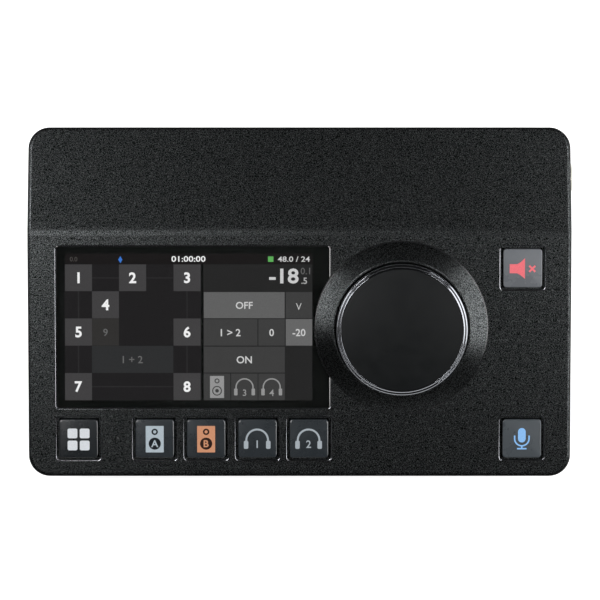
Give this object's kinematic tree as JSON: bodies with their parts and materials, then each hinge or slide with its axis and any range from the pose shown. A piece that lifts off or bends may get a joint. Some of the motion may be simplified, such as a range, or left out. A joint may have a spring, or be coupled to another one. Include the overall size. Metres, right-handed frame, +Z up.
{
  "type": "studio monitor controller",
  "caption": "Desktop audio monitor controller: wedge-shaped metal housing with a display, a large volume dial in a raised collar, square lit keys, and sockets at the rear and side.",
  "frame": {"origin": "on the desk, under the middle of the whole object, feet at height zero", "axes": "+X to the right for a user at the front, +Y to the rear, +Z up"},
  "size_m": [0.2064, 0.1322, 0.0591],
  "materials": {
    "cover_paint": "fine textured matt black powder coat",
    "base_paint": "matt black powder coat on sheet steel",
    "foot_rubber": "matt black rubber",
    "screw_steel": "black zinc plated",
    "nickel": "bright nickel plate",
    "screen_glass": "polished cover glass",
    "seal_foam": "closed-cell foam",
    "display": "lit display face",
    "cable_film": "amber polyimide film",
    "dial_anodised": "smooth satin black anodised",
    "dial_polish": "polished dark anodised edge",
    "encoder_metal": "satin",
    "circuit_board": "solder mask",
    "switch_plastic": "moulded black",
    "light_guide": "clear moulded light guide",
    "key_plastic": "satin smoked black with lit symbols",
    "mic_can": "bare aluminium",
    "socket_plastic": "moulded black nylon",
    "socket_shell": "nickel plated shell"
  },
  "bodies": {
    "housing": {"base_plate": "base_paint", "base_screws": "screw_steel", "board_link": "cable_film", "collar_screws": "screw_steel", "combo_input_1": "socket_plastic", "combo_input_2": "socket_plastic", "connector_screws": "screw_steel", "control_board": "circuit_board", "control_board_screws": "screw_steel", "dial_collar": "cover_paint", "display_flex": "cable_film", "display_gasket": "seal_foam", "display_glass": "screen_glass", "display_module": "display", "display_pads": "seal_foam", "encoder_body": "encoder_metal", "encoder_nut": "nickel", "feet": "foot_rubber", "jack_nuts": "nickel", "key_guide": "switch_plastic", "key_switches": "switch_plastic", "line_jack_left": "socket_plastic", "line_jack_right": "socket_plastic", "main_board": "circuit_board", "main_board_screws": "screw_steel", "mic_boot": "seal_foam", "mic_capsule": "mic_can", "network_socket": "socket_shell", "output_xlr_left": "socket_shell", "output_xlr_right": "socket_shell", "phones_jack_1": "socket_plastic", "phones_jack_2": "socket_plastic", "power_inlet": "socket_plastic", "rear_panel": "base_paint", "rear_panel_screws": "screw_steel", "standoffs": "nickel", "top_cover": "cover_paint"},
    "dial_press": {"encoder_plunger": "encoder_metal"},
    "dial": {"dial_body": "dial_anodised", "dial_rim": "dial_polish", "dial_face": "dial_anodised", "dial_grub_screw": "screw_steel", "encoder_shaft": "encoder_metal"},
    "key_home": {"key_cap_home": "key_plastic", "key_plunger_home": "light_guide"},
    "key_speaker_a": {"key_cap_speaker_a": "key_plastic", "key_plunger_speaker_a": "light_guide"},
    "key_speaker_b": {"key_cap_speaker_b": "key_plastic", "key_plunger_speaker_b": "light_guide"},
    "key_phones_1": {"key_cap_phones_1": "key_plastic", "key_plunger_phones_1": "light_guide"},
    "key_phones_2": {"key_cap_phones_2": "key_plastic", "key_plunger_phones_2": "light_guide"},
    "key_talkback": {"key_cap_talkback": "key_plastic", "key_plunger_talkback": "light_guide"},
    "key_mute": {"key_cap_mute": "key_plastic", "key_plunger_mute": "light_guide"}
  },
  "joints": [
    {"name": "dial_press_slide", "type": "slide", "parent": "housing", "child": "dial_press", "axis": [0, 0.1045, -0.9945], "range_m": [0, 0.0005], "stiffness_N_per_m": 6000, "springref_m": -0.0004},
    {"name": "dial_turn", "type": "hinge", "parent": "dial_press", "child": "dial", "pos_m": [0.0379, -0.00963, 0.04617], "axis": [0, -0.1045, 0.9945], "continuous": true},
    {"name": "key_home_travel", "type": "slide", "parent": "housing", "child": "key_home", "axis": [0, 0.1045, -0.9945], "range_m": [0, 0.0008], "stiffness_N_per_m": 1200, "springref_m": -0.0005},
    {"name": "key_speaker_a_travel", "type": "slide", "parent": "housing", "child": "key_speaker_a", "axis": [0, 0.1045, -0.9945], "range_m": [0, 0.0008], "stiffness_N_per_m": 1200, "springref_m": -0.0005},
    {"name": "key_speaker_b_travel", "type": "slide", "parent": "housing", "child": "key_speaker_b", "axis": [0, 0.1045, -0.9945], "range_m": [0, 0.0008], "stiffness_N_per_m": 1200, "springref_m": -0.0005},
    {"name": "key_phones_1_travel", "type": "slide", "parent": "housing", "child": "key_phones_1", "axis": [0, 0.1045, -0.9945], "range_m": [0, 0.0008], "stiffness_N_per_m": 1200, "springref_m": -0.0005},
    {"name": "key_phones_2_travel", "type": "slide", "parent": "housing", "child": "key_phones_2", "axis": [0, 0.1045, -0.9945], "range_m": [0, 0.0008], "stiffness_N_per_m": 1200, "springref_m": -0.0005},
    {"name": "key_talkback_travel", "type": "slide", "parent": "housing", "child": "key_talkback", "axis": [0, 0.1045, -0.9945], "range_m": [0, 0.0008], "stiffness_N_per_m": 1200, "springref_m": -0.0005},
    {"name": "key_mute_travel", "type": "slide", "parent": "housing", "child": "key_mute", "axis": [0, 0.1045, -0.9945], "range_m": [0, 0.0008], "stiffness_N_per_m": 1200, "springref_m": -0.0005}
  ]
}
